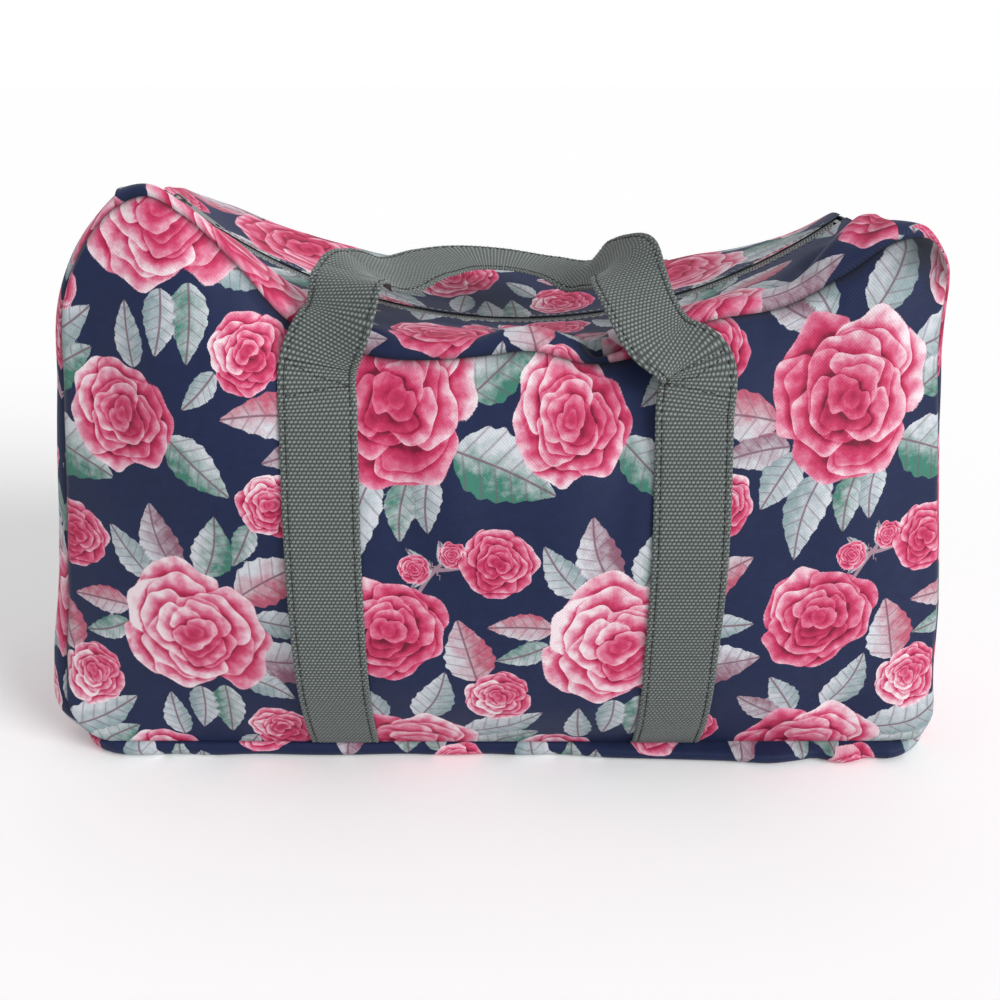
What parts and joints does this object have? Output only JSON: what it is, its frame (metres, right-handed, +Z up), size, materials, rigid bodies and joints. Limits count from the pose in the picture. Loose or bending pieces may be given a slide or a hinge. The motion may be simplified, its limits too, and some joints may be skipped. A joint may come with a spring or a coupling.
{
  "type": "zip-top holdall bag",
  "caption": "Soft rectangular travel holdall of sewn cloth panels with a sagging zipped top, a travelling zip slider with a pull tab, and webbing handles sewn down the front and rear.",
  "frame": {"origin": "middle of the flat underside of the base, on the floor", "axes": "+X along the bag's length to the right as seen from the front, -Y towards the front, +Z up"},
  "size_m": [0.4988, 0.2607, 0.3147],
  "materials": {
    "print_cloth": "printed twill, matt",
    "webbing": "coarse woven webbing",
    "zip_tape": "woven tape",
    "zip_coil": "nylon coil",
    "zip_metal": "satin grey"
  },
  "bodies": {
    "bag": {"front_panel": "print_cloth", "rear_panel": "print_cloth", "base_panel": "print_cloth", "left_end_panel": "print_cloth", "right_end_panel": "print_cloth", "front_top_strip": "print_cloth", "rear_top_strip": "print_cloth", "front_handle": "webbing", "rear_handle": "webbing", "front_zip_tape": "zip_tape", "rear_zip_tape": "zip_tape", "front_zip_coil": "zip_coil", "rear_zip_coil": "zip_coil", "left_zip_stop": "zip_metal", "right_zip_stop": "zip_metal"},
    "slider": {"zip_slider": "zip_metal"},
    "pull": {"zip_pull": "zip_metal"}
  },
  "joints": [
    {"name": "zip_travel", "type": "hinge", "parent": "bag", "child": "slider", "pos_m": [0.008, 0, 0.535], "axis": [0, -1, 0], "range_deg": [0, 71.7]},
    {"name": "pull_flip", "type": "hinge", "parent": "slider", "child": "pull", "pos_m": [-0.17764, 0, 0.29768], "axis": [0, -1, 0], "range_deg": [0, 150]}
  ]
}
